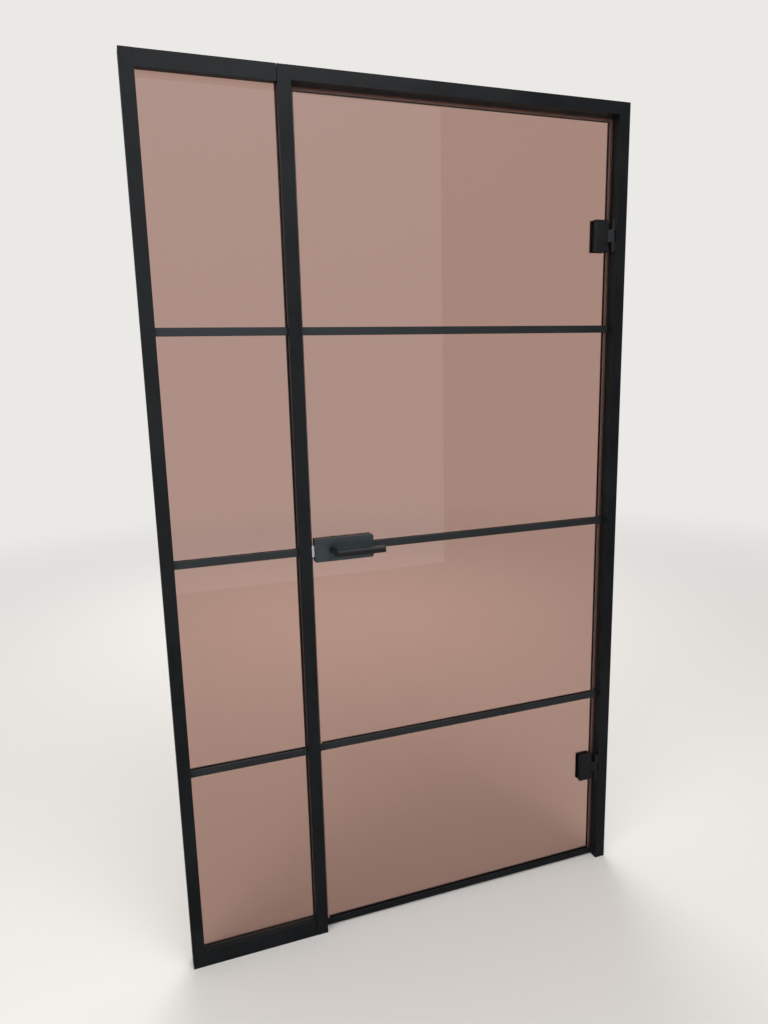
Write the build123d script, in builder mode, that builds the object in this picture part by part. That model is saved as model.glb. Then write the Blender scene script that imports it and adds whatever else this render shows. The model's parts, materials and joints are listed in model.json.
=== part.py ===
# Glazed loft door set: a slim aluminium frame with a fixed side light and a swinging glass leaf.
# Millimetres. +Z is up and +Y runs away from the side that the lever in front is on.
# The origin is on the floor, at mid width, in the middle plane of the leaf's glass.

import math
import os

from build123d import *

os.makedirs("parts", exist_ok=True)

# Whole door set
overall_width = 1240.0
overall_height = 2150.0
frame_depth = 42.0
side_light_width = 324.5  # from the outer left face to the mullion

# Extrusions, with face widths as seen from the front
side_face = 30.0
side_head_face = 36.0
side_sill_face = 45.0
door_face = 31.0
side_wall = 2.0
door_wall = 2.2
front_edge_radius = 0.6
joint_gap = 1.5  # shadow joint where the side light's rails meet the mullion
mullion_pocket = 12.0

# Rebate that the leaf closes against
leaf_set_back = 24.0
stop_width = 10.0
seal_thickness = 4.0
seal_width = 8.0
seal_clearance = 0.3
seal_corner_radius = 1.2
seal_groove_width = 4.0
seal_groove_depth = 1.4
seal_groove_inset = 2.0
seal_hollow_length = 4.8
seal_hollow_height = 1.8

# Glass and glazing
glass_thickness = 8.0
glass_arris = 0.8
side_set_back = 16.5
gasket_thickness = 3.0
gasket_drop = 0.5  # below the sight line of what it seals against
gasket_bite = 11.0
pocket_depth = 14.0
glass_side_clearance = 4.0
glass_pocket_bite = 10.0
bead_wall = 1.6
bead_drop = 3.0  # splayed bead, kept out of sight behind the rail's face
bead_land = 3.0
bead_clearance = 0.2
block_height = 5.0
block_length = 60.0

# Leaf
leaf_lock_gap = 4.0
leaf_hinge_gap = 4.5
leaf_head_gap = 3.0
floor_gap = 6.0

# Glazing bars, glued to both faces of each glass
bar_height = 18.5
bar_thickness = 4.0
bar_edge_radius = 0.8
tape_thickness = 1.0
tape_inset = 1.0
bar_end_gap = 0.5
bar_pitch = 528.0
bar_rows = 3  # the middle one runs level with the lever
stop_clearance = 3.0

# Joining blocks and anchors
cleat_arm = 60.0
cleat_clearance = 0.2
joint_block_length = 45.0
anchor_radius = 3.5
anchor_inset = 200.0
anchor_middle_spread = 650.0

# Lock on the glass
lock_height = 1061.0
lock_gap = 9.5  # from the mullion to the end of the case
case_length = 154.0
case_height = 59.0
case_depth = 13.0
case_wall = 2.0
case_corner_radius = 6.0
case_edge_chamfer = 0.8
plate_gasket = 1.0
rear_cover_depth = 9.0
base_plate_thickness = 2.0
base_plate_clearance = 0.2
lever_backset = 46.0
screw_glass_radius = 6.0
spindle_glass_radius = 11.0
boss_radius = 4.5
rear_boss_radius = 6.5
lock_screw_offsets = ((30.0, -20.0), (138.0, -18.0), (138.0, 18.0))

# Clamp screws, M5 countersunk
clamp_screw_radius = 2.5
screw_clearance = 0.05
clamp_head_radius = 4.8
clamp_screw_end = 14.0  # how far in front of the glass's middle plane the tip stands
hex_key = 3.0
hex_depth = 1.8

# Latch and follower
latch_height = 28.0
latch_thickness = 8.4
latch_clearance = 0.3
latch_reach = 7.0
latch_travel = 11.0
latch_window = 1.2
latch_tip = 2.0
latch_head_length = 27.5
tail_low = 11.0
tail_high = 24.0
tail_length = 76.0
notch_high = 20.0
notch_back = 7.0
notch_front = 3.8
follower_radius = 10.0
follower_arm_width = 6.0
follower_arm_reach = 18.0

# Lever handles
bar_lever_height = 16.0
bar_lever_depth = 10.0
lever_front = 70.0
lever_reach = 123.0
lever_bevel = 9.0
lever_crest = 2.5
lever_crest_rise = 1.0
lever_fall_back = 1.8
lever_edge_radius = 0.5
neck_radius = 8.0
neck_tail = 1.8
bush_thickness = 1.1
bush_stand = 0.4
running_clearance = 0.05
spindle_size = 8.0
spindle_clearance = 0.1
socket_depth = 20.0
grub_radius = 2.5
grub_offset = 8.0

# Strike plate on the mullion
strike_thickness = 2.0
strike_height = 64.0
strike_width = 22.0
strike_corner = 4.0
strike_window = 1.5
strike_pocket = 9.5
strike_screw_offset = 25.0

# Frame screws, M5 countersunk
frame_screw_radius = 2.5
frame_screw_head = 4.3
frame_screw_length = 16.0

# Hinges
lower_hinge_height = 305.0
upper_hinge_drop = 324.0
hinge_height = 80.0
hinge_body_width = 39.0
hinge_body_inset = 12.5  # from the leaf's hinge edge to the body
hinge_body_chamfer = 1.2
hinge_rear_chamfer = 1.0
axis_from_reveal = 5.5
axis_from_front = 5.0
knuckle_radius = 4.8
leaf_knuckle = 30.4
washer_thickness = 0.7
washer_gap = 0.05
pin_radius = 2.5
pin_head_radius = 3.6
pin_head_height = 1.5
hinge_plate_thickness = 3.0
hinge_plate_width = 22.0
hinge_plate_set_back = 0.8
knuckle_relief = 0.4
hinge_screw_spread = 56.0
hinge_clamp_spread = 44.0
hinge_screw_inset = 15.5
arm_root = 2.0
arm_depth = 6.0

# Places worked out from the sizes above
left_x = -overall_width / 2
right_x = overall_width / 2
front_y = -(glass_thickness / 2 + leaf_set_back)
back_y = front_y + frame_depth
mullion_x = left_x + side_light_width
lock_reveal_x = mullion_x + door_face
hinge_reveal_x = right_x - door_face
flange_depth = side_set_back - gasket_thickness
bead_front = side_set_back + glass_thickness + gasket_thickness
stop_front = leaf_set_back + glass_thickness + seal_thickness
glass_front = -glass_thickness / 2
glass_back = glass_thickness / 2
side_glass_front = front_y + side_set_back
side_glass_back = side_glass_front + glass_thickness
side_floor = side_face - pocket_depth
head_floor = side_head_face - pocket_depth
sill_floor = side_sill_face - pocket_depth
side_glass_left = left_x + side_floor + glass_side_clearance
side_glass_right = mullion_x + glass_pocket_bite
side_glass_bottom = sill_floor + block_height
side_glass_top = overall_height - head_floor - block_height
leaf_left = lock_reveal_x + leaf_lock_gap
leaf_right = hinge_reveal_x - leaf_hinge_gap
leaf_top = overall_height - door_face - leaf_head_gap
rear_left = lock_reveal_x + stop_width + stop_clearance
rear_right = hinge_reveal_x - stop_width - stop_clearance
anchor_y = front_y + frame_depth / 2
middle_height = overall_height / 2
anchor_heights = (
    anchor_inset,
    middle_height - anchor_middle_spread / 2,
    middle_height + anchor_middle_spread / 2,
    overall_height - anchor_inset,
)
bar_heights = [lock_height + bar_pitch * (row - (bar_rows - 1) / 2) for row in range(bar_rows)]

case_left = lock_reveal_x + lock_gap
case_right = case_left + case_length
case_back = glass_front - plate_gasket
case_front = case_back - case_depth
cover_back = glass_back + plate_gasket
cover_face = cover_back + rear_cover_depth
plate_front = case_back - base_plate_thickness
inner_front = case_front + case_wall
lever_x = case_left + lever_backset
latch_front = inner_front + latch_clearance
latch_back = latch_front + latch_thickness
latch_tip_x = lock_reveal_x - latch_reach
latch_root_x = latch_tip_x + latch_head_length
tail_end_x = latch_root_x + tail_length
lock_screws = [(case_left + x, lock_height + z) for x, z in lock_screw_offsets]
lever_left = lever_x - neck_radius
lever_right = lever_x + lever_reach
bar_back = lever_front - bar_lever_depth
bush_radius = neck_radius + running_clearance + bush_thickness

hinge_heights = (lower_hinge_height, overall_height - upper_hinge_drop)
axis_x = hinge_reveal_x - axis_from_reveal
axis_y = front_y + axis_from_front
hinge_body_right = leaf_right - hinge_body_inset
hinge_body_left = hinge_body_right - hinge_body_width
hinge_body_x = (hinge_body_left + hinge_body_right) / 2
hinge_body_back = glass_front - plate_gasket
pin_bore = pin_radius + running_clearance
knuckle_end = leaf_knuckle / 2 + washer_thickness + 2 * washer_gap
hinge_plate_front = front_y + hinge_plate_set_back
hinge_screw_y = hinge_plate_front + hinge_screw_inset
hinge_clamp_points = [
    (hinge_body_x, height + side * hinge_clamp_spread / 2) for height in hinge_heights for side in (-1, 1)
]
hinge_screw_heights = [height + side * hinge_screw_spread / 2 for height in hinge_heights for side in (-1, 1)]
strike_y = (latch_front + latch_back) / 2
strike_screw_heights = [lock_height + side * strike_screw_offset for side in (-1, 1)]

# The door frame's mitres run from the outer corner of the frame to the inner one
lock_mitre = Plane(origin=(mullion_x, 0, overall_height), z_dir=(1, 0, 1))
hinge_mitre = Plane(origin=(right_x, 0, overall_height), z_dir=(-1, 0, 1))


def section_plane(x, z, inward):
    """A plane across an extrusion: local X runs inward from its outer face, local Y back from its front."""
    inward = Vector(*inward)
    return Plane(origin=(x, front_y, z), x_dir=inward, z_dir=inward.cross(Vector(0, 1, 0)))


def facing(y):
    """A plane parallel to the glass at depth y: local X is X, local Y is Z, and it faces the viewer."""
    return Plane.XZ.offset(-y)


def area(low, high, mode=Mode.ADD):
    """A rectangle from its low corner to its high corner."""
    with Locations(((low[0] + high[0]) / 2, (low[1] + high[1]) / 2)):
        Rectangle(high[0] - low[0], high[1] - low[1], mode=mode)


def cut_box(low, high):
    """Removes the box between two corners from the part that is being made."""
    centre = tuple((a + b) / 2 for a, b in zip(low, high))
    with Locations(centre):
        Box(*[b - a for a, b in zip(low, high)], mode=Mode.SUBTRACT)


def draw_side_section(sketch, face):
    """Side light extrusion: a front flange over a tube, which leave a pocket for glass and bead."""
    floor = face - pocket_depth
    area((0, 0), (face, flange_depth))
    area((0, 0), (floor, frame_depth))
    offset(amount=-side_wall, kind=Kind.INTERSECTION, mode=Mode.SUBTRACT)
    area((side_wall, flange_depth - side_wall), (floor, flange_depth))
    fillet(sketch.vertices().group_by(Axis.Y)[0], front_edge_radius)


def draw_door_section(sketch, glazed):
    """Door frame extrusion: a tube with a stop behind the leaf, and a glass pocket on the mullion."""
    area((0, 0), (door_face, frame_depth))
    area((door_face, stop_front), (door_face + stop_width, frame_depth))
    if glazed:
        area((0, flange_depth), (mullion_pocket, bead_front), mode=Mode.SUBTRACT)
    offset(amount=-door_wall, kind=Kind.INTERSECTION, mode=Mode.SUBTRACT)
    area((door_wall, flange_depth - door_wall), (door_face - door_wall, flange_depth))
    area((door_face - door_wall, stop_front), (door_face, stop_front + door_wall))
    groove = door_face + seal_groove_inset
    area((groove, stop_front), (groove + seal_groove_width, stop_front + seal_groove_depth), mode=Mode.SUBTRACT)
    fillet(sketch.vertices().group_by(Axis.Y)[0], front_edge_radius)


def draw_seal_section(sketch):
    """Stop seal: a hollow pad in the corner of the rebate, with a foot in the stop's groove."""
    low = (door_face + seal_clearance, stop_front - seal_thickness + seal_clearance)
    high = (door_face + seal_clearance + seal_width, stop_front)
    area(low, high)
    fillet(sketch.vertices().group_by(Axis.Y)[0], seal_corner_radius)
    foot = door_face + seal_groove_inset + seal_clearance
    foot_end = foot + seal_groove_width - 2 * seal_clearance
    area((foot, stop_front), (foot_end, stop_front + seal_groove_depth - seal_clearance))
    with Locations(((low[0] + high[0]) / 2, (low[1] + high[1]) / 2)):
        SlotOverall(seal_hollow_length, seal_hollow_height, mode=Mode.SUBTRACT)


# Frame of the side light

with BuildPart() as left_jamb:
    with BuildSketch(section_plane(left_x, 0, (1, 0, 0))) as jamb_section:
        draw_side_section(jamb_section, side_face)
    extrude(amount=overall_height)
    with BuildSketch(Plane.YZ.offset(left_x)) as left_anchors:
        with Locations([(anchor_y, height) for height in anchor_heights]):
            Circle(anchor_radius)
    extrude(amount=side_wall, mode=Mode.SUBTRACT)
left_jamb.part.label = "left_jamb"
export_step(left_jamb.part, "parts/left_jamb.step")

rail_left = left_x + side_floor
rail_right = mullion_x - joint_gap
cope_right = left_x + side_face

with BuildPart() as side_head:
    with BuildSketch(section_plane(rail_left, overall_height, (0, 0, -1))) as head_section:
        draw_side_section(head_section, side_head_face)
    extrude(amount=rail_right - rail_left)
    cut_box(
        (rail_left, front_y, overall_height - side_head_face),
        (cope_right, front_y + flange_depth, overall_height),
    )
side_head.part.label = "side_head"
export_step(side_head.part, "parts/side_head.step")

with BuildPart() as side_sill:
    with BuildSketch(section_plane(rail_right, 0, (0, 0, 1))) as sill_section:
        draw_side_section(sill_section, side_sill_face)
    extrude(amount=rail_right - rail_left)
    cut_box((rail_left, front_y, 0), (cope_right, front_y + flange_depth, side_sill_face))
side_sill.part.label = "side_sill"
export_step(side_sill.part, "parts/side_sill.step")

# Frame of the leaf, mitred at both top corners

with BuildPart() as mullion:
    with BuildSketch(section_plane(mullion_x, 0, (1, 0, 0))) as mullion_section:
        draw_door_section(mullion_section, glazed=True)
    extrude(amount=overall_height)
    split(bisect_by=lock_mitre, keep=Keep.BOTTOM)
    cut_box(
        (lock_reveal_x - strike_pocket, latch_front - strike_window, lock_height - latch_height / 2 - strike_window),
        (lock_reveal_x, latch_back + strike_window, lock_height + latch_height / 2 + strike_window),
    )
    with BuildSketch(Plane.YZ.offset(lock_reveal_x)) as strike_holes:
        with Locations([(strike_y, height) for height in strike_screw_heights]):
            Circle(frame_screw_radius + screw_clearance)
    extrude(amount=-strike_pocket, mode=Mode.SUBTRACT)
mullion.part.label = "mullion"
export_step(mullion.part, "parts/mullion.step")

with BuildPart() as door_head:
    with BuildSketch(section_plane(mullion_x, overall_height, (0, 0, -1))) as door_head_section:
        draw_door_section(door_head_section, glazed=False)
    extrude(amount=right_x - mullion_x)
    split(bisect_by=lock_mitre, keep=Keep.TOP)
    split(bisect_by=hinge_mitre, keep=Keep.TOP)
door_head.part.label = "door_head"
export_step(door_head.part, "parts/door_head.step")

with BuildPart() as hinge_jamb:
    with BuildSketch(section_plane(right_x, overall_height, (-1, 0, 0))) as hinge_jamb_section:
        draw_door_section(hinge_jamb_section, glazed=False)
    extrude(amount=overall_height)
    split(bisect_by=hinge_mitre, keep=Keep.BOTTOM)
    with BuildSketch(Plane.YZ.offset(right_x)) as right_anchors:
        with Locations([(anchor_y, height) for height in anchor_heights]):
            Circle(anchor_radius)
    extrude(amount=-door_wall, mode=Mode.SUBTRACT)
    with BuildSketch(Plane.YZ.offset(hinge_reveal_x)) as hinge_holes:
        with Locations([(hinge_screw_y, height) for height in hinge_screw_heights]):
            Circle(frame_screw_radius + screw_clearance)
    extrude(amount=door_wall, mode=Mode.SUBTRACT)
hinge_jamb.part.label = "hinge_jamb"
export_step(hinge_jamb.part, "parts/hinge_jamb.step")

# Blocks and cleats inside the hollow extrusions

chamber_front = front_y + flange_depth + cleat_clearance
chamber_back = back_y - side_wall - cleat_clearance

with BuildPart() as side_joint_blocks:
    for block_start in (rail_left, mullion_x - joint_block_length):
        with BuildSketch(Plane.YZ.offset(block_start)) as block_sections:
            area(
                (chamber_front, side_wall + cleat_clearance),
                (chamber_back, sill_floor - side_wall - cleat_clearance),
            )
            area(
                (chamber_front, overall_height - head_floor + side_wall + cleat_clearance),
                (chamber_back, overall_height - side_wall - cleat_clearance),
            )
        extrude(amount=joint_block_length)
side_joint_blocks.part.label = "side_joint_blocks"
export_step(side_joint_blocks.part, "parts/side_joint_blocks.step")

cleat_inset = door_wall + cleat_clearance
cleat_width = door_face - 2 * cleat_inset
cleat_top = overall_height - cleat_inset

with BuildPart() as mitre_cleats:
    with BuildSketch(facing(front_y + flange_depth - cleat_inset)) as cleat_outlines:
        for corner_x, way in ((mullion_x + cleat_inset, 1), (right_x - cleat_inset, -1)):
            low_x, high_x = sorted((corner_x, corner_x + way * cleat_width))
            area((low_x, cleat_top - cleat_arm), (high_x, cleat_top))
            low_x, high_x = sorted((corner_x, corner_x + way * cleat_arm))
            area((low_x, cleat_top - cleat_width), (high_x, cleat_top))
    extrude(amount=flange_depth - 2 * cleat_inset)
mitre_cleats.part.label = "mitre_cleats"
export_step(mitre_cleats.part, "parts/mitre_cleats.step")

# Fixed glass with its gaskets, blocks and beads

with BuildPart() as side_glass:
    with BuildSketch(facing(side_glass_back)) as side_glass_outline:
        area((side_glass_left, side_glass_bottom), (side_glass_right, side_glass_top))
    extrude(amount=glass_thickness)
    pane_faces = side_glass.faces().filter_by(Axis.Y)
    chamfer(pane_faces.edges(), glass_arris)
side_glass.part.label = "side_glass"
export_step(side_glass.part, "parts/side_glass.step")

sight_left = left_x + side_face
sight_top = overall_height - side_head_face

with BuildPart() as glazing_gaskets:
    for ring_back, drop in (
        (side_glass_front, gasket_drop),
        (side_glass_back + gasket_thickness, bead_drop + gasket_drop),
    ):
        with BuildSketch(facing(ring_back)) as ring:
            area(
                (sight_left - gasket_bite, side_sill_face - gasket_bite),
                (mullion_x + glass_pocket_bite, sight_top + gasket_bite),
            )
            area(
                (sight_left - drop, side_sill_face - drop),
                (mullion_x + gasket_drop, sight_top + drop),
                mode=Mode.SUBTRACT,
            )
        extrude(amount=gasket_thickness)
glazing_gaskets.part.label = "glazing_gaskets"
export_step(glazing_gaskets.part, "parts/glazing_gaskets.step")

block_inset = (side_glass_right - side_glass_left) / 5

with BuildPart() as setting_blocks:
    with BuildSketch(facing(side_glass_back)) as block_outlines:
        for block_x in (side_glass_left + block_inset, side_glass_right - block_inset):
            area((block_x - block_length / 2, sill_floor), (block_x + block_length / 2, side_glass_bottom))
    extrude(amount=glass_thickness)
setting_blocks.part.label = "setting_blocks"
export_step(setting_blocks.part, "parts/setting_blocks.step")

# Splayed beads, mitred where they meet at the left jamb

sill_mitre = Plane(origin=(rail_left, 0, sill_floor), z_dir=(1, 0, -1))
head_mitre = Plane(origin=(rail_left, 0, overall_height - head_floor), z_dir=(1, 0, 1))

for bead_name, bead_plane, bead_face, bead_length, bead_cuts in (
    ("left_bead", section_plane(left_x, sill_floor, (1, 0, 0)), side_face,
     overall_height - sill_floor - head_floor, ((sill_mitre, Keep.BOTTOM), (head_mitre, Keep.BOTTOM))),
    ("head_bead", section_plane(rail_left, overall_height, (0, 0, -1)), side_head_face, mullion_x - rail_left,
     ((head_mitre, Keep.TOP),)),
    ("sill_bead", section_plane(mullion_x, 0, (0, 0, 1)), side_sill_face, mullion_x - rail_left,
     ((sill_mitre, Keep.TOP),)),
):
    bead_floor = bead_face - pocket_depth + bead_clearance
    with BuildPart() as bead:
        with BuildSketch(bead_plane.offset(bead_clearance)) as bead_section:
            with BuildLine() as bead_outline:
                Polyline(
                    (bead_floor, bead_front),
                    (bead_face - bead_drop, bead_front),
                    (bead_floor + bead_land, frame_depth),
                    (bead_floor, frame_depth),
                    close=True,
                )
            make_face()
            offset(amount=-bead_wall, kind=Kind.INTERSECTION, mode=Mode.SUBTRACT)
            fillet(bead_section.vertices().group_by(Axis.Y)[-1].sort_by(Axis.X)[-1], front_edge_radius)
        extrude(amount=bead_length - 2 * bead_clearance)
        for cut_plane, kept in bead_cuts:
            split(bisect_by=cut_plane, keep=kept)
    bead.part.label = bead_name
    export_step(bead.part, f"parts/{bead_name}.step")

# Stop seals, mitred with the frame

for seal_name, seal_plane, seal_length, seal_cuts in (
    ("lock_side_seal", section_plane(mullion_x, 0, (1, 0, 0)), overall_height, ((lock_mitre, Keep.BOTTOM),)),
    ("head_seal", section_plane(mullion_x, overall_height, (0, 0, -1)), right_x - mullion_x,
     ((lock_mitre, Keep.TOP), (hinge_mitre, Keep.TOP))),
    ("hinge_side_seal", section_plane(right_x, overall_height, (-1, 0, 0)), overall_height,
     ((hinge_mitre, Keep.BOTTOM),)),
):
    with BuildPart() as seal:
        with BuildSketch(seal_plane) as seal_section:
            draw_seal_section(seal_section)
        extrude(amount=seal_length)
        for cut_plane, kept in seal_cuts:
            split(bisect_by=cut_plane, keep=kept)
    seal.part.label = seal_name
    export_step(seal.part, f"parts/{seal_name}.step")

# Glass of the leaf, drilled for the lock, the spindle and the hinges

with BuildPart() as leaf_glass:
    with BuildSketch(facing(glass_back)) as leaf_outline:
        area((leaf_left, floor_gap), (leaf_right, leaf_top))
    extrude(amount=glass_thickness)
    leaf_faces = leaf_glass.faces().filter_by(Axis.Y)
    chamfer(leaf_faces.edges(), glass_arris)
    with BuildSketch(facing(glass_back)) as leaf_holes:
        with Locations(lock_screws + hinge_clamp_points):
            Circle(screw_glass_radius)
        with Locations((lever_x, lock_height)):
            Circle(spindle_glass_radius)
    extrude(amount=glass_thickness, mode=Mode.SUBTRACT)
leaf_glass.part.label = "leaf_glass"
export_step(leaf_glass.part, "parts/leaf_glass.step")

# Glazing bars: each is a flat bar on a strip of tape, on the front and on the back of the glass

bars = []
tapes = {"side_bar_tapes": [], "leaf_bar_tapes": []}
side_bar_left = sight_left + bar_end_gap
side_bar_right = mullion_x - bar_end_gap
for number, height in enumerate(bar_heights, start=1):
    for glass_face, way, side in ((side_glass_front, -1, "front"), (side_glass_back, 1, "rear")):
        bars.append((f"side_bar_{number}_{side}", side_bar_left, side_bar_right, height, glass_face, way))
        tapes["side_bar_tapes"].append((side_bar_left, side_bar_right, height, glass_face, way))
    for glass_face, way, side in ((glass_front, -1, "front"), (glass_back, 1, "rear")):
        bar_left = leaf_left if side == "front" else rear_left
        bar_right = leaf_right if side == "front" else rear_right
        if abs(height - lock_height) < case_height / 2:
            bar_left = case_right + bar_end_gap
        bars.append((f"leaf_bar_{number}_{side}", bar_left, bar_right, height, glass_face, way))
        tapes["leaf_bar_tapes"].append((bar_left, bar_right, height, glass_face, way))
trim_height = floor_gap + bar_height / 2
for glass_face, way, side, bar_left, bar_right in (
    (glass_front, -1, "front", leaf_left, leaf_right),
    (glass_back, 1, "rear", rear_left, rear_right),
):
    bars.append((f"bottom_trim_{side}", bar_left, bar_right, trim_height, glass_face, way))
    tapes["leaf_bar_tapes"].append((bar_left, bar_right, trim_height, glass_face, way))

for bar_name, bar_left, bar_right, height, glass_face, way in bars:
    tape_face = glass_face + way * tape_thickness
    bar_outer = tape_face + way * bar_thickness
    with BuildPart() as bar:
        with BuildSketch(Plane.YZ.offset(bar_left)) as bar_section:
            low_y, high_y = sorted((tape_face, bar_outer))
            area((low_y, height - bar_height / 2), (high_y, height + bar_height / 2))
            outer_corners = bar_section.vertices().group_by(Axis.X)[0 if way < 0 else -1]
            fillet(outer_corners, bar_edge_radius)
        extrude(amount=bar_right - bar_left)
    bar.part.label = bar_name
    export_step(bar.part, f"parts/{bar_name}.step")

for tape_name, strips in tapes.items():
    with BuildPart() as tape:
        for bar_left, bar_right, height, glass_face, way in strips:
            with BuildSketch(Plane.YZ.offset(bar_left + tape_inset)) as tape_section:
                low_y, high_y = sorted((glass_face, glass_face + way * tape_thickness))
                half = bar_height / 2 - tape_inset
                area((low_y, height - half), (high_y, height + half))
            extrude(amount=bar_right - bar_left - 2 * tape_inset)
    tape.part.label = tape_name
    export_step(tape.part, f"parts/{tape_name}.step")

# Lock case on the front of the glass

case_x = (case_left + case_right) / 2

with BuildPart() as lock_case:
    with BuildSketch(facing(case_back)) as case_outline:
        area(
            (case_left, lock_height - case_height / 2),
            (case_right, lock_height + case_height / 2),
        )
    extrude(amount=case_depth)
    fillet(lock_case.edges().filter_by(Axis.Y), case_corner_radius)
    chamfer(lock_case.faces().sort_by(Axis.Y)[0].edges(), case_edge_chamfer)
    offset(amount=-case_wall, openings=lock_case.faces().sort_by(Axis.Y)[-1])
    with BuildSketch(facing(plate_front)) as boss_outlines:
        with Locations(lock_screws):
            Circle(boss_radius)
    extrude(amount=plate_front - inner_front)
    with BuildSketch(facing(plate_front)) as boss_holes:
        with Locations(lock_screws):
            Circle(clamp_screw_radius + screw_clearance)
    extrude(amount=plate_front + clamp_screw_end, mode=Mode.SUBTRACT)
    with BuildSketch(facing(inner_front)) as neck_hole:
        with Locations((lever_x, lock_height)):
            Circle(bush_radius + running_clearance)
    extrude(amount=case_wall, mode=Mode.SUBTRACT)
    cut_box(
        (case_left, inner_front, lock_height - latch_height / 2 - latch_clearance),
        (case_left + case_corner_radius, plate_front, lock_height + latch_height / 2 + latch_clearance),
    )
lock_case.part.label = "lock_case"
export_step(lock_case.part, "parts/lock_case.step")

plate_inset = case_wall + base_plate_clearance

with BuildPart() as lock_base_plate:
    with BuildSketch(facing(case_back)) as base_plate_outline:
        area(
            (case_left + plate_inset, lock_height - case_height / 2 + plate_inset),
            (case_right - plate_inset, lock_height + case_height / 2 - plate_inset),
        )
        fillet(base_plate_outline.vertices(), case_corner_radius - plate_inset)
        with Locations(lock_screws):
            Circle(clamp_screw_radius + screw_clearance, mode=Mode.SUBTRACT)
        with Locations((lever_x, lock_height)):
            Circle(follower_radius - case_wall, mode=Mode.SUBTRACT)
    extrude(amount=base_plate_thickness)
lock_base_plate.part.label = "lock_base_plate"
export_step(lock_base_plate.part, "parts/lock_base_plate.step")

# The rear cover is shorter, because it clears the stop on the mullion

with BuildPart() as lock_rear_cover:
    with BuildSketch(facing(cover_back)) as cover_outline:
        area(
            (rear_left, lock_height - case_height / 2),
            (case_right, lock_height + case_height / 2),
        )
    extrude(amount=-rear_cover_depth)
    fillet(lock_rear_cover.edges().filter_by(Axis.Y), case_corner_radius)
    chamfer(lock_rear_cover.faces().sort_by(Axis.Y)[-1].edges(), case_edge_chamfer)
    offset(amount=-case_wall, openings=lock_rear_cover.faces().sort_by(Axis.Y)[0])
    with BuildSketch(facing(cover_back)) as cover_bosses:
        with Locations(lock_screws):
            Circle(rear_boss_radius)
    extrude(amount=-(rear_cover_depth - case_wall))
    with Locations([Location((x, cover_face, z), (-90, 0, 0)) for x, z in lock_screws]):
        CounterSinkHole(
            radius=clamp_screw_radius + screw_clearance,
            counter_sink_radius=clamp_head_radius + screw_clearance,
            depth=rear_cover_depth,
        )
    with BuildSketch(facing(cover_face)) as rear_neck_hole:
        with Locations((lever_x, lock_height)):
            Circle(bush_radius + running_clearance)
    extrude(amount=case_wall, mode=Mode.SUBTRACT)
lock_rear_cover.part.label = "lock_rear_cover"
export_step(lock_rear_cover.part, "parts/lock_rear_cover.step")

with BuildPart() as lock_gaskets:
    for gasket_back, gasket_left in ((glass_front, case_left), (cover_back, rear_left)):
        with BuildSketch(facing(gasket_back)) as lock_gasket_outline:
            area(
                (gasket_left + plate_gasket, lock_height - case_height / 2 + plate_gasket),
                (case_right - plate_gasket, lock_height + case_height / 2 - plate_gasket),
            )
            fillet(lock_gasket_outline.vertices(), case_corner_radius - plate_gasket)
            with Locations(lock_screws):
                Circle(clamp_screw_radius + screw_clearance, mode=Mode.SUBTRACT)
            with Locations((lever_x, lock_height)):
                Circle(spindle_glass_radius, mode=Mode.SUBTRACT)
        extrude(amount=plate_gasket)
lock_gaskets.part.label = "lock_gaskets"
export_step(lock_gaskets.part, "parts/lock_gaskets.step")

# Clamp screws of the lock and the hinges, put in from behind

with BuildPart() as clamp_screws:
    head_depth = clamp_head_radius - clamp_screw_radius
    for x, z in lock_screws + hinge_clamp_points:
        with BuildSketch(Plane(origin=(x, 0, z), x_dir=(1, 0, 0), z_dir=(0, 0, 1))) as screw_half:
            with BuildLine() as screw_outline:
                Polyline(
                    (0, -clamp_screw_end),
                    (clamp_screw_radius, -clamp_screw_end),
                    (clamp_screw_radius, cover_face - head_depth),
                    (clamp_head_radius, cover_face),
                    (0, cover_face),
                    close=True,
                )
            make_face()
        revolve(axis=Axis((x, 0, z), (0, 1, 0)))
    with BuildSketch(facing(cover_face)) as hex_recesses:
        with Locations(lock_screws + hinge_clamp_points):
            RegularPolygon(hex_key / 2, 6, major_radius=False)
    extrude(amount=hex_depth, mode=Mode.SUBTRACT)
clamp_screws.part.label = "clamp_screws"
export_step(clamp_screws.part, "parts/clamp_screws.step")

# Latch: a bevelled head and a tail whose notch the follower pushes

with BuildPart() as latch_bolt:
    with BuildSketch(Plane.XY.offset(lock_height - latch_height / 2)) as latch_plan:
        with BuildLine() as latch_outline:
            Polyline(
                (latch_tip_x, latch_front),
                (latch_root_x, latch_front),
                (latch_root_x, latch_back),
                (latch_tip_x + latch_thickness - latch_tip, latch_back),
                (latch_tip_x, latch_front + latch_tip),
                close=True,
            )
        make_face()
    extrude(amount=latch_height)
    with BuildSketch(facing(latch_back)) as tail_outline:
        area(
            (latch_root_x - case_wall, lock_height + tail_low),
            (tail_end_x, lock_height + tail_high),
        )
        area(
            (lever_x - notch_back, lock_height + tail_low),
            (lever_x + notch_front, lock_height + notch_high),
            mode=Mode.SUBTRACT,
        )
    extrude(amount=latch_thickness)
latch_bolt.part.label = "latch_bolt"
export_step(latch_bolt.part, "parts/latch_bolt.step")

with BuildPart() as follower:
    with BuildSketch(facing(latch_back)) as follower_outline:
        with Locations((lever_x, lock_height)):
            Circle(follower_radius)
        area(
            (lever_x - follower_arm_width / 2, lock_height),
            (lever_x + follower_arm_width / 2, lock_height + follower_arm_reach),
        )
        with Locations((lever_x, lock_height)):
            Rectangle(spindle_size + spindle_clearance, spindle_size + spindle_clearance, mode=Mode.SUBTRACT)
    extrude(amount=latch_thickness)
follower.part.label = "follower"
export_step(follower.part, "parts/follower.step")

# Lever handles, one on each side of the leaf, on one square spindle

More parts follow.
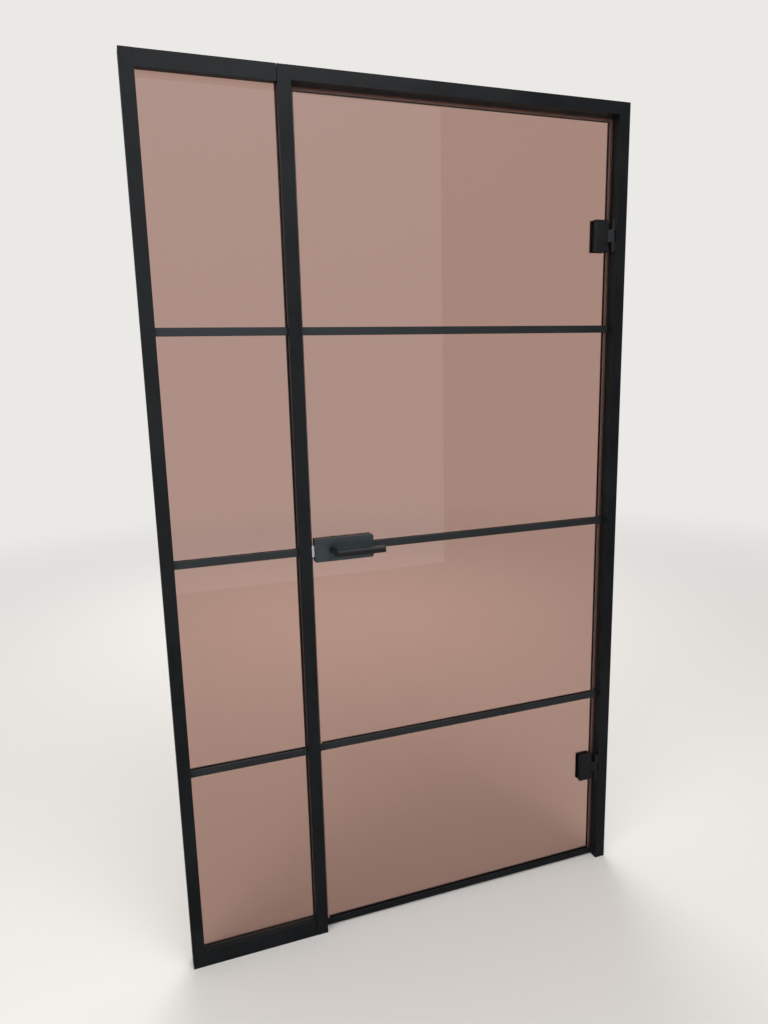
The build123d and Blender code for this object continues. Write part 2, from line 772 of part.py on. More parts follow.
front_neck_end = case_front + neck_tail
rear_neck_end = cover_face - neck_tail
grub_points = []

for way, lever_name, neck_end in ((-1, "front_lever", front_neck_end), (1, "rear_lever", rear_neck_end)):
    with BuildPart() as lever:
        with BuildSketch(Plane.YZ.offset(lever_left)) as grip_section:
            with BuildLine() as grip_outline:
                Polyline(
                    (way * bar_back, lock_height - bar_lever_height / 2),
                    (way * bar_back, lock_height + bar_lever_height / 2),
                    (way * (lever_front - lever_crest_rise), lock_height + bar_lever_height / 2),
                    (way * lever_front, lock_height + lever_crest),
                    (way * (lever_front - lever_fall_back), lock_height - bar_lever_height / 2),
                    close=True,
                )
            make_face()
            fillet(grip_section.vertices(), lever_edge_radius)
        extrude(amount=lever_right - lever_left)
        bevel_start = (lever_left, way * (lever_front - lever_bevel), lock_height)
        split(bisect_by=Plane(origin=bevel_start, z_dir=(-1, way, 0)), keep=Keep.BOTTOM)
        with BuildSketch(facing(neck_end)) as neck_outline:
            with Locations((lever_x, lock_height)):
                Circle(neck_radius)
        extrude(amount=-way * (way * bar_back - neck_end) * way)
        with BuildSketch(facing(neck_end)) as socket_outline:
            with Locations((lever_x, lock_height)):
                Rectangle(spindle_size + spindle_clearance, spindle_size + spindle_clearance)
        extrude(amount=-way * socket_depth, mode=Mode.SUBTRACT)
        grub_y = neck_end + way * grub_offset
        with BuildSketch(Plane.XY.offset(lock_height - neck_radius)) as grub_hole:
            with Locations((lever_x, grub_y)):
                Circle(grub_radius + screw_clearance)
        extrude(amount=neck_radius - spindle_size / 2, mode=Mode.SUBTRACT)
    lever.part.label = lever_name
    export_step(lever.part, f"parts/{lever_name}.step")
    grub_points.append((lever_x, grub_y))

with BuildPart() as spindle:
    spindle_back = rear_neck_end + socket_depth - spindle_clearance
    with BuildSketch(facing(spindle_back)) as spindle_section:
        with Locations((lever_x, lock_height)):
            Rectangle(spindle_size, spindle_size)
    extrude(amount=spindle_back - (front_neck_end - socket_depth + spindle_clearance))
spindle.part.label = "spindle"
export_step(spindle.part, "parts/spindle.step")

with BuildPart() as grub_screws:
    with BuildSketch(Plane.XY.offset(lock_height - neck_radius + screw_clearance)) as grub_outlines:
        with Locations(grub_points):
            Circle(grub_radius)
            RegularPolygon(hex_key / 2, 6, major_radius=False, mode=Mode.SUBTRACT)
    extrude(amount=neck_radius - spindle_size / 2 - 2 * screw_clearance)
grub_screws.part.label = "grub_screws"
export_step(grub_screws.part, "parts/grub_screws.step")

with BuildPart() as lever_bushes:
    for bush_back, bush_length in (
        (inner_front, case_wall + bush_stand),
        (cover_face + bush_stand, case_wall + bush_stand),
    ):
        with BuildSketch(facing(bush_back)) as bush_outline:
            with Locations((lever_x, lock_height)):
                Circle(bush_radius)
                Circle(neck_radius + running_clearance, mode=Mode.SUBTRACT)
        extrude(amount=bush_length)
lever_bushes.part.label = "lever_bushes"
export_step(lever_bushes.part, "parts/lever_bushes.step")

# Strike plate on the mullion

with BuildPart() as strike_plate:
    with BuildSketch(Plane.YZ.offset(lock_reveal_x)) as strike_outline:
        with Locations((strike_y, lock_height)):
            RectangleRounded(strike_width, strike_height, strike_corner)
            Rectangle(
                latch_thickness + 2 * strike_window,
                latch_height + 2 * strike_window,
                mode=Mode.SUBTRACT,
            )
    extrude(amount=strike_thickness)
    with Locations(
        [Location((lock_reveal_x + strike_thickness, strike_y, z), (0, 90, 0)) for z in strike_screw_heights]
    ):
        CounterSinkHole(
            radius=frame_screw_radius + screw_clearance,
            counter_sink_radius=frame_screw_head + screw_clearance,
            depth=strike_thickness,
        )
strike_plate.part.label = "strike_plate"
export_step(strike_plate.part, "parts/strike_plate.step")

# Frame screws of the strike plate and of the hinge plates

screw_points = [(lock_reveal_x + strike_thickness, strike_y, z, -1) for z in strike_screw_heights]
screw_points += [(hinge_reveal_x - hinge_plate_thickness, hinge_screw_y, z, 1) for z in hinge_screw_heights]

with BuildPart() as frame_screws:
    for x, y, z, way in screw_points:
        with BuildSketch(Plane(origin=(x, y, z), x_dir=(way, 0, 0), z_dir=(0, 1, 0))) as frame_screw_half:
            with BuildLine() as frame_screw_outline:
                Polyline(
                    (0, 0),
                    (0, frame_screw_head),
                    (frame_screw_head - frame_screw_radius, frame_screw_radius),
                    (frame_screw_length, frame_screw_radius),
                    (frame_screw_length, 0),
                    close=True,
                )
            make_face()
        revolve(axis=Axis((x, y, z), (1, 0, 0)))
        with BuildSketch(Plane(origin=(x, y, z), z_dir=(-way, 0, 0))) as frame_screw_hex:
            RegularPolygon(hex_key / 2, 6, major_radius=False)
        extrude(amount=-hex_depth, mode=Mode.SUBTRACT)
frame_screws.part.label = "frame_screws"
export_step(frame_screws.part, "parts/frame_screws.step")

# Hinges: a plate with two knuckles on the jamb, and a body with one knuckle on the glass

arm_front = (axis_x - knuckle_radius * math.sqrt(0.5), axis_y - knuckle_radius * math.sqrt(0.5))
arm_back = (axis_x + arm_root, axis_y + math.sqrt(knuckle_radius**2 - arm_root**2))

for hinge_name, height in zip(("lower", "upper"), hinge_heights):
    with BuildPart() as hinge_plate:
        with BuildSketch(Plane.YZ.offset(hinge_reveal_x - hinge_plate_thickness)) as plate_outline:
            area(
                (hinge_plate_front, height - hinge_height / 2),
                (hinge_plate_front + hinge_plate_width, height + hinge_height / 2),
            )
        extrude(amount=hinge_plate_thickness)
        with BuildSketch(Plane.XY.offset(height - hinge_height / 2)) as knuckle_outline:
            with Locations((axis_x, axis_y)):
                Circle(knuckle_radius)
        extrude(amount=hinge_height)
        cut_box(
            (axis_x - knuckle_radius, axis_y - knuckle_radius - knuckle_relief, height - knuckle_end),
            (hinge_reveal_x, axis_y + knuckle_radius + knuckle_relief, height + knuckle_end),
        )
        with BuildSketch(Plane.XY.offset(height - hinge_height / 2)) as pin_hole:
            with Locations((axis_x, axis_y)):
                Circle(pin_bore)
        extrude(amount=hinge_height, mode=Mode.SUBTRACT)
        with Locations(
            [
                Location(
                    (hinge_reveal_x - hinge_plate_thickness, hinge_screw_y, height + side * hinge_screw_spread / 2),
                    (0, -90, 0),
                )
                for side in (-1, 1)
            ]
        ):
            CounterSinkHole(
                radius=frame_screw_radius + screw_clearance,
                counter_sink_radius=frame_screw_head + screw_clearance,
                depth=hinge_plate_thickness,
            )
    hinge_plate.part.label = f"{hinge_name}_hinge_plate"
    export_step(hinge_plate.part, f"parts/{hinge_name}_hinge_plate.step")

    with BuildPart() as hinge_pin:
        with BuildSketch(Plane.XY.offset(height - hinge_height / 2)) as pin_section:
            with Locations((axis_x, axis_y)):
                Circle(pin_radius)
        extrude(amount=hinge_height)
        for head_start, head_way in ((height + hinge_height / 2, 1), (height - hinge_height / 2, -1)):
            with BuildSketch(Plane.XY.offset(head_start)) as pin_head:
                with Locations((axis_x, axis_y)):
                    Circle(pin_head_radius)
            extrude(amount=head_way * pin_head_height)
        ends = hinge_pin.edges().filter_by(GeomType.CIRCLE).group_by(Axis.Z)
        chamfer(ends[0] + ends[-1], pin_head_height / 3)
    hinge_pin.part.label = f"{hinge_name}_hinge_pin"
    export_step(hinge_pin.part, f"parts/{hinge_name}_hinge_pin.step")

    with BuildPart() as hinge_body:
        with BuildSketch(facing(hinge_body_back)) as body_outline:
            area(
                (hinge_body_left, height - hinge_height / 2),
                (hinge_body_right, height + hinge_height / 2),
            )
        extrude(amount=case_depth)
        chamfer(hinge_body.faces().sort_by(Axis.Y)[0].edges(), hinge_body_chamfer)
        with BuildSketch(Plane.XY.offset(height - leaf_knuckle / 2)) as arm_plan:
            with BuildLine() as arm_outline:
                Polyline(
                    (hinge_body_right - arm_root, case_front + hinge_body_chamfer),
                    arm_front,
                    (axis_x, axis_y),
                    arm_back,
                    (hinge_body_right - arm_root, case_front + hinge_body_chamfer + arm_depth),
                    close=True,
                )
            make_face()
            with Locations((axis_x, axis_y)):
                Circle(knuckle_radius)
        extrude(amount=leaf_knuckle)
        with BuildSketch(Plane.XY.offset(height - leaf_knuckle / 2)) as body_bore:
            with Locations((axis_x, axis_y)):
                Circle(pin_bore)
        extrude(amount=leaf_knuckle, mode=Mode.SUBTRACT)
        with BuildSketch(facing(hinge_body_back)) as body_holes:
            with Locations([(hinge_body_x, height + side * hinge_clamp_spread / 2) for side in (-1, 1)]):
                Circle(clamp_screw_radius + screw_clearance)
        extrude(amount=hinge_body_back + clamp_screw_end, mode=Mode.SUBTRACT)
    hinge_body.part.label = f"{hinge_name}_hinge_body"
    export_step(hinge_body.part, f"parts/{hinge_name}_hinge_body.step")

    with BuildPart() as rear_plate:
        with BuildSketch(facing(cover_back)) as rear_outline:
            area(
                (hinge_body_left, height - hinge_height / 2),
                (hinge_body_right, height + hinge_height / 2),
            )
        extrude(amount=-rear_cover_depth)
        chamfer(rear_plate.faces().sort_by(Axis.Y)[-1].edges(), hinge_rear_chamfer)
        with Locations(
            [
                Location((hinge_body_x, cover_face, height + side * hinge_clamp_spread / 2), (-90, 0, 0))
                for side in (-1, 1)
            ]
        ):
            CounterSinkHole(
                radius=clamp_screw_radius + screw_clearance,
                counter_sink_radius=clamp_head_radius + screw_clearance,
                depth=rear_cover_depth,
            )
    rear_plate.part.label = f"{hinge_name}_hinge_rear_plate"
    export_step(rear_plate.part, f"parts/{hinge_name}_hinge_rear_plate.step")

with BuildPart() as hinge_gaskets:
    for gasket_back in (glass_front, cover_back):
        with BuildSketch(facing(gasket_back)) as hinge_gasket_outlines:
            for height in hinge_heights:
                area(
                    (hinge_body_left + plate_gasket, height - hinge_height / 2 + plate_gasket),
                    (hinge_body_right - plate_gasket, height + hinge_height / 2 - plate_gasket),
                )
            with Locations(hinge_clamp_points):
                Circle(clamp_screw_radius + screw_clearance, mode=Mode.SUBTRACT)
        extrude(amount=plate_gasket)
hinge_gaskets.part.label = "hinge_gaskets"
export_step(hinge_gaskets.part, "parts/hinge_gaskets.step")

with BuildPart() as hinge_washers:
    for height in hinge_heights:
        for washer_start in (height + leaf_knuckle / 2 + washer_gap, height - knuckle_end + washer_gap):
            with BuildSketch(Plane.XY.offset(washer_start)) as washer_outline:
                with Locations((axis_x, axis_y)):
                    Circle(knuckle_radius)
                    Circle(pin_bore, mode=Mode.SUBTRACT)
            extrude(amount=washer_thickness)
hinge_washers.part.label = "hinge_washers"
export_step(hinge_washers.part, "parts/hinge_washers.step")
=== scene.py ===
import json
import math

import bpy
from mathutils import Matrix, Vector


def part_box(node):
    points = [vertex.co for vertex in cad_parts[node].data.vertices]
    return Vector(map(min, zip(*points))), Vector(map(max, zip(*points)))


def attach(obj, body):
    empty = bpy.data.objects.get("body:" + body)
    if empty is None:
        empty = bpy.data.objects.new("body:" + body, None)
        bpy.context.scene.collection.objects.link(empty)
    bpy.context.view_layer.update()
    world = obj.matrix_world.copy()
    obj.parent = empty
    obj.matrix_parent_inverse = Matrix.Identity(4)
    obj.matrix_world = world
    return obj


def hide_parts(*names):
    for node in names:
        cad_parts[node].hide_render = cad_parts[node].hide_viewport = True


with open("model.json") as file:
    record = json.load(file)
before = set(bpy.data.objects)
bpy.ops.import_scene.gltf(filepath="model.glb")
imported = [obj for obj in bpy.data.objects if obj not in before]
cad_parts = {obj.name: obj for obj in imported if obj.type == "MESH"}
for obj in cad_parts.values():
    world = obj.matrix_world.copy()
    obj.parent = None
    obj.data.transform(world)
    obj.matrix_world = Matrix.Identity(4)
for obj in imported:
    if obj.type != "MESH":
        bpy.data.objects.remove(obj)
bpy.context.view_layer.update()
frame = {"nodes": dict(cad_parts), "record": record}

nodes = frame["nodes"]
print("frame loaded:", len(nodes), "pieces")


def linear(hexColour):
    # sRGB hex to the linear values that Blender works in
    channels = [int(hexColour[i:i + 2], 16) / 255 for i in (1, 3, 5)]
    values = [c / 12.92 if c <= 0.04045 else ((c + 0.055) / 1.055) ** 2.4 for c in channels]
    return (*values, 1.0)


def addNode(tree, kind, settings=None, inputs=None):
    # one node with its settings; an input is a value, or an output socket to link from
    node = tree.nodes.new(kind)
    for name, value in (settings or {}).items():
        setattr(node, name, value)
    for name, value in (inputs or {}).items():
        if isinstance(value, bpy.types.NodeSocket):
            tree.links.new(value, node.inputs[name])
        else:
            node.inputs[name].default_value = value
    return node


def combine(tree, operation, first, second, clamp=False):
    settings = {"operation": operation, "use_clamp": clamp}
    return addNode(tree, "ShaderNodeMath", settings, {0: first, 1: second}).outputs[0]


def spread(tree, value, given=(0.0, 1.0), wanted=(0.0, 1.0), curve="LINEAR"):
    # turns the given range of a value into the wanted one, and holds what lies outside it
    return addNode(tree, "ShaderNodeMapRange", {"interpolation_type": curve}, {
        "Value": value, "From Min": given[0], "From Max": given[1],
        "To Min": wanted[0], "To Max": wanted[1]}).outputs["Result"]


# Where a Mix node that is set to colours has its two colours and its result
mixFirst, mixSecond, mixResult = 6, 7, 2


def mixColours(tree, share, first, second):
    return addNode(tree, "ShaderNodeMix", {"data_type": "RGBA"}, {
        "Factor": share, mixFirst: first, mixSecond: second}).outputs[mixResult]


def mixShaders(tree, share, first, second):
    return addNode(tree, "ShaderNodeMixShader", inputs={0: share, 1: first, 2: second}).outputs["Shader"]


def objectCoordinates(tree, stretch=(1.0, 1.0, 1.0)):
    # a pattern's coordinates in metres, squeezed along an axis where the pattern is drawn out
    coordinates = addNode(tree, "ShaderNodeTexCoord")
    return addNode(tree, "ShaderNodeMapping", inputs={
        "Vector": coordinates.outputs["Object"], "Scale": stretch}).outputs["Vector"]


def patternScale(millimetres):
    # how many times a pattern of that size repeats in a metre
    return 1000 / millimetres


def noise(tree, place, size, fineness):
    # fineness holds how many finer layers the noise has and how strong they are
    return addNode(tree, "ShaderNodeTexNoise", inputs={
        "Vector": place, "Scale": patternScale(size),
        "Detail": fineness[0], "Roughness": fineness[1]}).outputs["Fac"]


def relief(tree, height, depth):
    return addNode(tree, "ShaderNodeBump", inputs={
        "Height": height, "Distance": depth, "Strength": 1.0}).outputs["Normal"]


def newMaterial(name):
    material = bpy.data.materials.new(name)
    material.use_nodes = True
    material.node_tree.nodes.clear()
    return material, material.node_tree


def finishMaterial(tree, surface):
    addNode(tree, "ShaderNodeOutputMaterial", inputs={"Surface": surface})


def principled(tree, inputs):
    return addNode(tree, "ShaderNodeBsdfPrincipled", inputs=inputs).outputs["BSDF"]


# Polyester powder coat with a fine texture, baked on extruded aluminium. It gives the eye a deep
# cool black, a broad soft sheen and lighter grain specks, a painted glint standing in for the light
# that raised grains catch. Sizes are in millimetres, a relief's depth in metres, and a cover says
# where in a noise a colour begins and where it is full
powderCoat = {
    "colour": "#070809",
    "cloudColour": "#0f1214",
    "cloudSize": 160.0,
    "cloudFineness": (4.0, 0.6),
    "cloudCover": (0.35, 0.65),
    "roughness": (0.38, 0.48),
    "glossCover": (0.3, 0.7),
    "reflectance": 0.2,  # a matting agent takes most of the shine away
    "ior": 1.45,
    "peelSize": 3.0,  # real orange peel is near 1 mm, drawn coarser so that it shows
    "peelFineness": (3.0, 0.55),
    "peelDepth": 0.00008,
    "grainSize": 1.4,  # real grains are finer too, and drawn coarser for the same reason
    "grainFineness": (1.0, 0.5),
    "paintedGlintCover": (0.56, 0.70),
    "paintedGlintColour": "#24292c",
    "paintedGlintShare": 0.5,
}

# A smoother batch of the same coat on the glazing bars, which look shinier; their lighter colour is
# painted light, standing in for the brighter light that the bars catch
barCoatPaintedLight = {
    **powderCoat,
    "colour": "#121517",
    "cloudColour": "#181b1d",
    "roughness": (0.32, 0.42),
    "reflectance": 0.5,
}

# Satin black lacquer on milled fittings, which look as dark as the frame with a finer grain
fittingCoat = {
    **powderCoat,
    "colour": "#0e1011",
    "cloudColour": "#141719",
    "cloudSize": 60.0,
    "roughness": (0.42, 0.50),
    "reflectance": 0.25,
    "peelSize": 2.0,
    "peelDepth": 0.00003,
    "grainSize": 0.9,
    "paintedGlintColour": "#262a2d",
    "paintedGlintShare": 0.35,
}

# The satin black lacquer of the fittings on the lock's case, drawn in a lighter bluish grey as a painted
# reflection of bright window light on its face
lockCoatPaintedReflection = {
    **fittingCoat,
    "colour": "#1e2427",
    "cloudColour": "#282e32",
    "paintedGlintColour": "#3c4347",
    "roughness": (0.30, 0.38),
    "reflectance": 0.4,
}

# The satin lacquer on cast hinges, where the casting's roughness shows as a dull, uneven black
hingeCoat = {**fittingCoat, "peelDepth": 0.00008, "roughness": (0.46, 0.56), "reflectance": 0.18}

# The satin lacquer burnished by hands, which gives the lever a crisp bright line along its edges
leverCoat = {
    **fittingCoat,
    "colour": "#070808",
    "cloudColour": "#0c0d0d",
    "cloudSize": 30.0,
    "roughness": (0.09, 0.15),
    "reflectance": 0.7,
    "peelDepth": 0.00001,
    "grainSize": 0.6,
    "paintedGlintColour": "#1a1c1d",
    "paintedGlintShare": 0.2,
}


def makePowderCoat(name, look):
    material, tree = newMaterial(name)
    place = objectCoordinates(tree)
    peel = noise(tree, place, look["peelSize"], look["peelFineness"])
    cloud = noise(tree, place, look["cloudSize"], look["cloudFineness"])
    grain = noise(tree, place, look["grainSize"], look["grainFineness"])
    clouded = spread(tree, cloud, look["cloudCover"])
    tone = mixColours(tree, clouded, linear(look["colour"]), linear(look["cloudColour"]))
    # the lighter grain specks are a painted glint: colour standing in for the light that raised grains
    # catch
    paintedGlintMask = spread(tree, grain, look["paintedGlintCover"], (0.0, look["paintedGlintShare"]))
    finishMaterial(tree, principled(tree, {
        "Base Color": mixColours(tree, paintedGlintMask, tone, linear(look["paintedGlintColour"])),
        "Roughness": spread(tree, cloud, look["glossCover"], look["roughness"]),
        "Normal": relief(tree, peel, look["peelDepth"]),
        "IOR": look["ior"],
        "Specular IOR Level": look["reflectance"],
    }))
    return material


# Float glass tinted bronze in the mass, 8 mm thick. It gives the eye a pinkish brown cast on what
# lies behind it, clean reflections, and a trace of haze where a cloth has been
bronzeGlass = {
    "colour": "#b8968b",
    "ior": 1.52,
    "smearSize": 260.0,
    "smearFineness": (3.0, 0.5),
    "smearCover": (0.45, 0.75),
    "roughness": (0.0, 0.015),
}


def makeGlass(name, look):
    material, tree = newMaterial(name)
    smear = noise(tree, objectCoordinates(tree), look["smearSize"], look["smearFineness"])
    finishMaterial(tree, principled(tree, {
        "Base Color": linear(look["colour"]),
        "Roughness": spread(tree, smear, look["smearCover"], look["roughness"]),
        "IOR": look["ior"],
        "Transmission Weight": 1.0,
    }))
    return material


# Thermoplastic rubber of the hollow stop seals: a pale grey with a soft velvety rim and fine
# lines from the extruder's die, which run along the profile. The colour is partly the rubber's own
# pale grey and partly painted light: drawn lighter and bluer to stand in for the light that reaches
# the seal through the tinted glass
sealRubberPaintedLight = {
    "colour": "#d8e4e7",
    "roughness": 0.5,
    "sheen": 0.5,
    "lineSize": 1.2,
    "lineFineness": (2.0, 0.5),
    "lineDepth": 0.00008,
    "shade": (0.85, 1.15),  # how dark and how light the lines make the colour
    "drawn": (1.0, 1.0, 0.02),
}
headSealRubberPaintedLight = {**sealRubberPaintedLight, "drawn": (0.02, 1.0, 1.0)}

# Dense black rubber of the gaskets, which shows as a dull line round the fixed glass and under the
# lock and the hinges
gasketRubber = {**sealRubberPaintedLight, "colour": "#1c1c1c", "roughness": 0.7, "sheen": 0.1, "lineDepth": 0.00005}


def makeRubber(name, look):
    material, tree = newMaterial(name)
    lines = noise(tree, objectCoordinates(tree, look["drawn"]), look["lineSize"], look["lineFineness"])
    tone = addNode(tree, "ShaderNodeHueSaturation", inputs={
        "Color": linear(look["colour"]), "Value": spread(tree, lines, wanted=look["shade"])})
    finishMaterial(tree, principled(tree, {
        "Base Color": tone.outputs["Color"],
        "Roughness": look["roughness"],
        "Sheen Weight": look["sheen"],
        "Normal": relief(tree, lines, look["lineDepth"]),
    }))
    return material


# Satin nickel plating on the latch bolt: a warm light metal, brushed along the bolt, so that its
# highlight is a broad pale band
satinNickelPlate = {
    "colour": "#dcdbd8",
    "roughness": (0.40, 0.56),
    "grainSize": 0.5,
    "grainFineness": (3.0, 0.5),
    "grainDepth": 0.00002,
    "stretch": (0.05, 1.0, 1.0),
    "surface": {"Metallic": 1.0},
}

# Bright steel of the base plate, spindle and follower, with fine upright lines left by machining
turnedSteelGrain = {
    **satinNickelPlate,
    "colour": "#b9b6b0",
    "roughness": (0.20, 0.36),
    "grainSize": 0.4,
    "grainDepth": 0.00001,
    "stretch": (1.0, 1.0, 0.1),
}

# Mill-finish aluminium of blocks and cleats: a grey metal with streaks from the extrusion
millAluminiumGrain = {
    **satinNickelPlate,
    "colour": "#c4c6c8",
    "roughness": (0.30, 0.46),
    "grainSize": 0.8,
    "stretch": (1.0, 1.0, 0.05),
}

# Blackened steel of screws and pins: nearly black, with a small glint in the sockets
blackenedSteel = {
    **satinNickelPlate,
    "colour": "#2b2b2c",
    "roughness": (0.30, 0.46),
    "grainDepth": 0.00001,
    "stretch": (1.0, 1.0, 1.0),
}

# Injection-moulded acetal of bushes, washers and setting blocks: dull black with the fine matte
# texture of a spark-eroded mould
mouldedAcetal = {
    "colour": "#1e1e1f",
    "roughness": (0.39, 0.51),
    "grainSize": 0.8,
    "grainFineness": (2.0, 0.5),
    "grainDepth": 0.00002,
    "stretch": (1.0, 1.0, 1.0),
    "surface": {"IOR": 1.48},
}

# Acrylic foam tape under the bars: its cut edge looks like a matte, open-pored black line
acrylicFoam = {**mouldedAcetal, "colour": "#191919", "roughness": (0.79, 0.91), "grainDepth": 0.00006}


def makeGrained(name, look):
    # a metal or plastic whose grain moves both its relief and its gloss
    material, tree = newMaterial(name)
    grain = noise(tree, objectCoordinates(tree, look["stretch"]), look["grainSize"], look["grainFineness"])
    finishMaterial(tree, principled(tree, {
        "Base Color": linear(look["colour"]),
        "Roughness": spread(tree, grain, wanted=look["roughness"]),
        "Normal": relief(tree, grain, look["grainDepth"]),
        **look["surface"],
    }))
    return material


framePaint = makePowderCoat("powderCoatedAluminium", powderCoat)
barPaintPaintedLight = makePowderCoat("powderCoatedBarPaintedLight", barCoatPaintedLight)
fittingPaint = makePowderCoat("satinBlackFitting", fittingCoat)
lockPaintPaintedReflection = makePowderCoat("lockCasePaintedReflection", lockCoatPaintedReflection)
hingePaint = makePowderCoat("castBlackHinge", hingeCoat)
leverPaint = makePowderCoat("handledBlackLever", leverCoat)
tintedGlass = makeGlass("bronzeFloatGlass", bronzeGlass)
# the seal colours are partly painted light, lifted to stand in for light through the glass
stopSealPaintedLight = makeRubber("paleSealPaintedLight", sealRubberPaintedLight)
headSealPaintedLight = makeRubber("paleHeadSealPaintedLight", headSealRubberPaintedLight)
glazingRubber = makeRubber("blackGlazingRubber", gasketRubber)
foamTape = makeGrained("blackFoamTape", acrylicFoam)
acetal = makeGrained("blackAcetal", mouldedAcetal)
satinNickel = makeGrained("satinNickelPlatedSteel", satinNickelPlate)
turnedSteel = makeGrained("turnedSteel", turnedSteelGrain)
millAluminium = makeGrained("millAluminium", millAluminiumGrain)
blackScrew = makeGrained("blackenedScrewSteel", blackenedSteel)

materialOf = {
    "black_frame": framePaint,
    "black_fittings": fittingPaint,
    "bronze_glass": tintedGlass,
    "grey_seal": stopSealPaintedLight,
    "black_rubber": glazingRubber,
    "black_plastic": acetal,
    "bare_aluminium": millAluminium,
    "bright_steel": turnedSteel,
    "dark_screws": blackScrew,
}
ownMaterial = {
    "head_seal": headSealPaintedLight,
    "side_bar_tapes": foamTape,
    "leaf_bar_tapes": foamTape,
    "latch_bolt": satinNickel,
    "strike_plate": fittingPaint,
    # the lock case and its cover take the coat whose lighter bluish colour is a painted reflection
    "lock_case": lockPaintPaintedReflection,
    "lock_rear_cover": lockPaintPaintedReflection,
    "lower_hinge_pin": blackScrew,
    "upper_hinge_pin": blackScrew,
    "front_lever": leverPaint,
    "rear_lever": leverPaint,
}
for part in frame["record"]["subparts"]:
    piece = nodes[part["node"]]
    finish = ownMaterial.get(part["node"], materialOf[part["material_slot"]])
    # the bars take the copy of the coat whose lighter colour is painted light
    if "bar_" in part["node"] and finish is framePaint:
        finish = barPaintPaintedLight
    if "hinge_" in part["node"] and finish is fittingPaint:
        finish = hingePaint
    piece.data.materials.clear()
    piece.data.materials.append(finish)
print("materials set on", len(nodes), "pieces")


# Screws: one Geometry Nodes tree makes a countersunk screw with a hexagon socket and sets it on
# every point, with its head towards the point's way
screwSizes = {
    "Head Radius": 0.0048,
    "Shank Radius": 0.0025,
    "Length": 0.028,
    "Key Size": 0.003,
    "Socket Depth": 0.0018,
}
screwSides = 32
keySides = 6
cornersPerKeySize = 1 / math.sqrt(3)  # a hexagon's corner circle radius for each unit of its width


def makeScrewTree():
    tree = bpy.data.node_groups.new("hexSocketScrews", "GeometryNodeTree")
    tree.interface.new_socket("Points", in_out="INPUT", socket_type="NodeSocketGeometry")
    for name in screwSizes:
        tree.interface.new_socket(name, in_out="INPUT", socket_type="NodeSocketFloat")
    tree.interface.new_socket("Finish", in_out="INPUT", socket_type="NodeSocketMaterial")
    tree.interface.new_socket("Screws", in_out="OUTPUT", socket_type="NodeSocketGeometry")
    given = addNode(tree, "NodeGroupInput").outputs

    def lifted(mesh, height):
        shift = addNode(tree, "ShaderNodeCombineXYZ", inputs={"Z": height})
        return addNode(tree, "GeometryNodeTransform", inputs={
            "Geometry": mesh, "Translation": shift.outputs["Vector"]}).outputs["Geometry"]

    # the head is a cone of 45 degrees, so it is as deep as it is wider than the shank
    headDepth = combine(tree, "SUBTRACT", given["Head Radius"], given["Shank Radius"])
    head = addNode(tree, "GeometryNodeMeshCone", inputs={
        "Vertices": screwSides, "Radius Bottom": given["Shank Radius"],
        "Radius Top": given["Head Radius"], "Depth": headDepth})
    # the shank starts halfway down the socket, so that its own end face doesn't show in it
    shankTop = combine(tree, "MULTIPLY", given["Socket Depth"], 0.5)
    shank = addNode(tree, "GeometryNodeMeshCylinder", inputs={
        "Vertices": screwSides, "Radius": given["Shank Radius"],
        "Depth": combine(tree, "SUBTRACT", given["Length"], shankTop)})
    shankMiddle = combine(tree, "MULTIPLY", combine(tree, "ADD", given["Length"], shankTop), -0.5)
    # the key's prism is twice as deep as the socket, because its middle is level with the head's face
    key = addNode(tree, "GeometryNodeMeshCylinder", inputs={
        "Vertices": keySides, "Radius": combine(tree, "MULTIPLY", given["Key Size"], cornersPerKeySize),
        "Depth": combine(tree, "MULTIPLY", given["Socket Depth"], 2.0)})
    # the exact solver leaves a closed mesh
    whole = addNode(tree, "GeometryNodeMeshBoolean", {"operation": "UNION", "solver": "EXACT"})
    headPlace = combine(tree, "MULTIPLY", headDepth, -1.0)
    tree.links.new(lifted(head.outputs["Mesh"], headPlace), whole.inputs["Mesh 2"])
    tree.links.new(lifted(shank.outputs["Mesh"], shankMiddle), whole.inputs["Mesh 2"])
    drilled = addNode(tree, "GeometryNodeMeshBoolean", {"operation": "DIFFERENCE", "solver": "EXACT"}, {
        "Mesh 1": whole.outputs["Mesh"], "Mesh 2": key.outputs["Mesh"]})
    way = addNode(tree, "GeometryNodeInputNamedAttribute", {"data_type": "FLOAT_VECTOR"}, {"Name": "way"})
    turn = addNode(tree, "FunctionNodeAlignRotationToVector", {"axis": "Z"}, {
        "Vector": way.outputs["Attribute"]})
    placed = addNode(tree, "GeometryNodeInstanceOnPoints", inputs={
        "Points": given["Points"], "Instance": drilled.outputs["Mesh"],
        "Rotation": turn.outputs["Rotation"]})
    solid = addNode(tree, "GeometryNodeRealizeInstances", inputs={
        "Geometry": placed.outputs["Instances"]})
    coloured = addNode(tree, "GeometryNodeSetMaterial", inputs={
        "Geometry": solid.outputs["Geometry"], "Material": given["Finish"]})
    addNode(tree, "NodeGroupOutput", inputs={"Screws": coloured.outputs["Geometry"]})
    return tree


